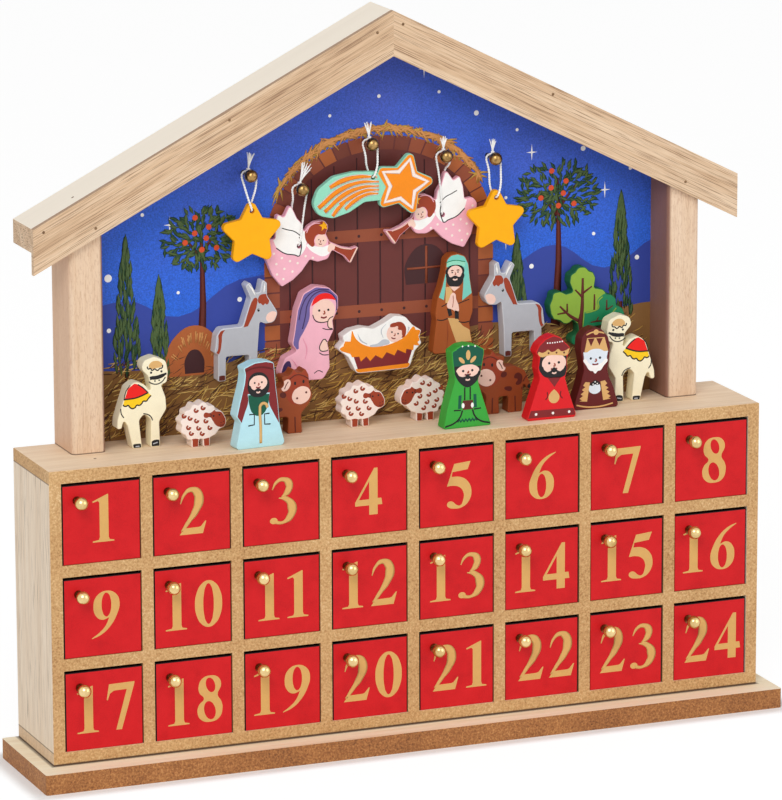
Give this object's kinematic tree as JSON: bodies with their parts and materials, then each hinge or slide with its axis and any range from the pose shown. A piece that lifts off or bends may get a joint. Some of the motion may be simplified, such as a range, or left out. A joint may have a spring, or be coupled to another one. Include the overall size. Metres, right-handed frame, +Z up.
{
  "type": "wooden advent calendar",
  "caption": "Wooden advent calendar: a case of small numbered drawers on a base plate, carrying a gabled stage with painted cut-out figures and hanging ornaments.",
  "frame": {"origin": "middle of the base plate's underside", "axes": "+X to the viewer's right along the drawer fronts, +Y to the back, +Z up"},
  "size_m": [0.3926, 0.069, 0.3642],
  "materials": {
    "mdf_board": "bare fibreboard",
    "case_veneer": "bare pale veneer",
    "hardboard": "bare hardboard",
    "pine": "sanded bare wood",
    "panel_board": "bare board",
    "printed_sheet": "satin printed",
    "brass": "polished",
    "red_drawer": "satin paint",
    "grey_paint": "satin paint",
    "rose_paint": "satin paint",
    "crib_paint": "satin paint",
    "robe_brown_paint": "satin paint",
    "leaf_paint": "satin paint",
    "cream_paint": "satin paint",
    "hide_paint": "satin paint",
    "fleece_paint": "satin paint",
    "maroon_paint": "satin paint",
    "pale_blue_paint": "satin paint",
    "green_paint": "satin paint",
    "scarlet_paint": "satin paint",
    "star_paint": "satin paint",
    "comet_paint": "satin paint",
    "white_paint": "satin paint",
    "cotton_string": "twisted cotton"
  },
  "bodies": {
    "cabinet": {"base_plate": "mdf_board", "cabinet_case": "case_veneer", "drawer_dividers": "mdf_board", "cabinet_back": "hardboard", "gable_posts": "pine", "roof_boards": "pine", "picture_panel": "panel_board", "picture_sheet": "printed_sheet", "hook_pegs": "brass"},
    "drawer_01_body": {"drawer_01": "red_drawer"},
    "drawer_02_body": {"drawer_02": "red_drawer"},
    "drawer_03_body": {"drawer_03": "red_drawer"},
    "drawer_04_body": {"drawer_04": "red_drawer"},
    "drawer_05_body": {"drawer_05": "red_drawer"},
    "drawer_06_body": {"drawer_06": "red_drawer"},
    "drawer_07_body": {"drawer_07": "red_drawer"},
    "drawer_08_body": {"drawer_08": "red_drawer"},
    "drawer_09_body": {"drawer_09": "red_drawer"},
    "drawer_10_body": {"drawer_10": "red_drawer"},
    "drawer_11_body": {"drawer_11": "red_drawer"},
    "drawer_12_body": {"drawer_12": "red_drawer"},
    "drawer_13_body": {"drawer_13": "red_drawer"},
    "drawer_14_body": {"drawer_14": "red_drawer"},
    "drawer_15_body": {"drawer_15": "red_drawer"},
    "drawer_16_body": {"drawer_16": "red_drawer"},
    "drawer_17_body": {"drawer_17": "red_drawer"},
    "drawer_18_body": {"drawer_18": "red_drawer"},
    "drawer_19_body": {"drawer_19": "red_drawer"},
    "drawer_20_body": {"drawer_20": "red_drawer"},
    "drawer_21_body": {"drawer_21": "red_drawer"},
    "drawer_22_body": {"drawer_22": "red_drawer"},
    "drawer_23_body": {"drawer_23": "red_drawer"},
    "drawer_24_body": {"drawer_24": "red_drawer"},
    "donkey_left_body": {"donkey_left": "grey_paint"},
    "kneeling_mother_body": {"kneeling_mother": "rose_paint"},
    "manger_body": {"manger": "crib_paint"},
    "standing_father_body": {"standing_father": "robe_brown_paint"},
    "donkey_right_body": {"donkey_right": "grey_paint"},
    "tree_body": {"tree": "leaf_paint"},
    "camel_left_body": {"camel_left": "cream_paint"},
    "cow_left_body": {"cow_left": "hide_paint"},
    "sheep_2_body": {"sheep_2": "fleece_paint"},
    "sheep_3_body": {"sheep_3": "fleece_paint"},
    "cow_right_body": {"cow_right": "hide_paint"},
    "camel_right_body": {"camel_right": "cream_paint"},
    "sheep_1_body": {"sheep_1": "fleece_paint"},
    "king_hooded_body": {"king_hooded": "maroon_paint"},
    "shepherd_body": {"shepherd": "pale_blue_paint"},
    "king_crowned_body": {"king_crowned": "green_paint"},
    "king_turbaned_body": {"king_turbaned": "scarlet_paint"},
    "star_left_body": {"star_left": "star_paint", "star_left_string": "cotton_string"},
    "angel_left_body": {"angel_left": "white_paint", "angel_left_string": "cotton_string"},
    "comet_body": {"comet": "comet_paint", "comet_string": "cotton_string"},
    "angel_right_body": {"angel_right": "white_paint", "angel_right_string": "cotton_string"},
    "star_right_body": {"star_right": "star_paint", "star_right_string": "cotton_string"}
  },
  "joints": [
    {"name": "drawer_01_slide", "type": "slide", "parent": "cabinet", "child": "drawer_01_body", "axis": [0, -1, 0], "range_m": [0, 0.046]},
    {"name": "drawer_02_slide", "type": "slide", "parent": "cabinet", "child": "drawer_02_body", "axis": [0, -1, 0], "range_m": [0, 0.046]},
    {"name": "drawer_03_slide", "type": "slide", "parent": "cabinet", "child": "drawer_03_body", "axis": [0, -1, 0], "range_m": [0, 0.046]},
    {"name": "drawer_04_slide", "type": "slide", "parent": "cabinet", "child": "drawer_04_body", "axis": [0, -1, 0], "range_m": [0, 0.046]},
    {"name": "drawer_05_slide", "type": "slide", "parent": "cabinet", "child": "drawer_05_body", "axis": [0, -1, 0], "range_m": [0, 0.046]},
    {"name": "drawer_06_slide", "type": "slide", "parent": "cabinet", "child": "drawer_06_body", "axis": [0, -1, 0], "range_m": [0, 0.046]},
    {"name": "drawer_07_slide", "type": "slide", "parent": "cabinet", "child": "drawer_07_body", "axis": [0, -1, 0], "range_m": [0, 0.046]},
    {"name": "drawer_08_slide", "type": "slide", "parent": "cabinet", "child": "drawer_08_body", "axis": [0, -1, 0], "range_m": [0, 0.046]},
    {"name": "drawer_09_slide", "type": "slide", "parent": "cabinet", "child": "drawer_09_body", "axis": [0, -1, 0], "range_m": [0, 0.046]},
    {"name": "drawer_10_slide", "type": "slide", "parent": "cabinet", "child": "drawer_10_body", "axis": [0, -1, 0], "range_m": [0, 0.046]},
    {"name": "drawer_11_slide", "type": "slide", "parent": "cabinet", "child": "drawer_11_body", "axis": [0, -1, 0], "range_m": [0, 0.046]},
    {"name": "drawer_12_slide", "type": "slide", "parent": "cabinet", "child": "drawer_12_body", "axis": [0, -1, 0], "range_m": [0, 0.046]},
    {"name": "drawer_13_slide", "type": "slide", "parent": "cabinet", "child": "drawer_13_body", "axis": [0, -1, 0], "range_m": [0, 0.046]},
    {"name": "drawer_14_slide", "type": "slide", "parent": "cabinet", "child": "drawer_14_body", "axis": [0, -1, 0], "range_m": [0, 0.046]},
    {"name": "drawer_15_slide", "type": "slide", "parent": "cabinet", "child": "drawer_15_body", "axis": [0, -1, 0], "range_m": [0, 0.046]},
    {"name": "drawer_16_slide", "type": "slide", "parent": "cabinet", "child": "drawer_16_body", "axis": [0, -1, 0], "range_m": [0, 0.046]},
    {"name": "drawer_17_slide", "type": "slide", "parent": "cabinet", "child": "drawer_17_body", "axis": [0, -1, 0], "range_m": [0, 0.046]},
    {"name": "drawer_18_slide", "type": "slide", "parent": "cabinet", "child": "drawer_18_body", "axis": [0, -1, 0], "range_m": [0, 0.046]},
    {"name": "drawer_19_slide", "type": "slide", "parent": "cabinet", "child": "drawer_19_body", "axis": [0, -1, 0], "range_m": [0, 0.046]},
    {"name": "drawer_20_slide", "type": "slide", "parent": "cabinet", "child": "drawer_20_body", "axis": [0, -1, 0], "range_m": [0, 0.046]},
    {"name": "drawer_21_slide", "type": "slide", "parent": "cabinet", "child": "drawer_21_body", "axis": [0, -1, 0], "range_m": [0, 0.046]},
    {"name": "drawer_22_slide", "type": "slide", "parent": "cabinet", "child": "drawer_22_body", "axis": [0, -1, 0], "range_m": [0, 0.046]},
    {"name": "drawer_23_slide", "type": "slide", "parent": "cabinet", "child": "drawer_23_body", "axis": [0, -1, 0], "range_m": [0, 0.046]},
    {"name": "drawer_24_slide", "type": "slide", "parent": "cabinet", "child": "drawer_24_body", "axis": [0, -1, 0], "range_m": [0, 0.046]},
    {"name": "donkey_left_pull", "type": "slide", "parent": "cabinet", "child": "donkey_left_body", "axis": [0, -1, 0], "range_m": [0, 0.004]},
    {"name": "kneeling_mother_pull", "type": "slide", "parent": "cabinet", "child": "kneeling_mother_body", "axis": [0, -1, 0], "range_m": [0, 0.004]},
    {"name": "manger_pull", "type": "slide", "parent": "cabinet", "child": "manger_body", "axis": [0, -1, 0], "range_m": [0, 0.004]},
    {"name": "standing_father_pull", "type": "slide", "parent": "cabinet", "child": "standing_father_body", "axis": [0, -1, 0], "range_m": [0, 0.004]},
    {"name": "donkey_right_pull", "type": "slide", "parent": "cabinet", "child": "donkey_right_body", "axis": [0, -1, 0], "range_m": [0, 0.004]},
    {"name": "tree_pull", "type": "slide", "parent": "cabinet", "child": "tree_body", "axis": [0, -1, 0], "range_m": [0, 0.004]},
    {"name": "camel_left_lift", "type": "slide", "parent": "cabinet", "child": "camel_left_body", "axis": [0, 0, 1], "range_m": [0, 0.03]},
    {"name": "cow_left_lift", "type": "slide", "parent": "cabinet", "child": "cow_left_body", "axis": [0, 0, 1], "range_m": [0, 0.03]},
    {"name": "sheep_2_lift", "type": "slide", "parent": "cabinet", "child": "sheep_2_body", "axis": [0, 0, 1], "range_m": [0, 0.03]},
    {"name": "sheep_3_lift", "type": "slide", "parent": "cabinet", "child": "sheep_3_body", "axis": [0, 0, 1], "range_m": [0, 0.03]},
    {"name": "cow_right_lift", "type": "slide", "parent": "cabinet", "child": "cow_right_body", "axis": [0, 0, 1], "range_m": [0, 0.03]},
    {"name": "camel_right_lift", "type": "slide", "parent": "cabinet", "child": "camel_right_body", "axis": [0, 0, 1], "range_m": [0, 0.03]},
    {"name": "sheep_1_lift", "type": "slide", "parent": "cabinet", "child": "sheep_1_body", "axis": [0, 0, 1], "range_m": [0, 0.03]},
    {"name": "king_hooded_lift", "type": "slide", "parent": "cabinet", "child": "king_hooded_body", "axis": [0, 0, 1], "range_m": [0, 0.03]},
    {"name": "shepherd_lift", "type": "slide", "parent": "cabinet", "child": "shepherd_body", "axis": [0, 0, 1], "range_m": [0, 0.03]},
    {"name": "king_crowned_lift", "type": "slide", "parent": "cabinet", "child": "king_crowned_body", "axis": [0, 0, 1], "range_m": [0, 0.03]},
    {"name": "king_turbaned_lift", "type": "slide", "parent": "cabinet", "child": "king_turbaned_body", "axis": [0, 0, 1], "range_m": [0, 0.03]},
    {"name": "star_left_swing", "type": "hinge", "parent": "cabinet", "child": "star_left_body", "pos_m": [-0.0694, 0.0234, 0.2852], "axis": [0, 1, 0], "range_deg": [-8, 8]},
    {"name": "angel_left_swing", "type": "hinge", "parent": "cabinet", "child": "angel_left_body", "pos_m": [-0.0426, 0.0234, 0.2764], "axis": [0, 1, 0], "range_deg": [-5, 5]},
    {"name": "comet_swing", "type": "hinge", "parent": "cabinet", "child": "comet_body", "pos_m": [-0.0058, 0.0234, 0.2963], "axis": [0, 1, 0], "range_deg": [-5, 5]},
    {"name": "angel_right_swing", "type": "hinge", "parent": "cabinet", "child": "angel_right_body", "pos_m": [0.0336, 0.0234, 0.2874], "axis": [0, 1, 0], "range_deg": [-5, 5]},
    {"name": "star_right_swing", "type": "hinge", "parent": "cabinet", "child": "star_right_body", "pos_m": [0.06, 0.0234, 0.2842], "axis": [0, 1, 0], "range_deg": [-8, 8]}
  ]
}
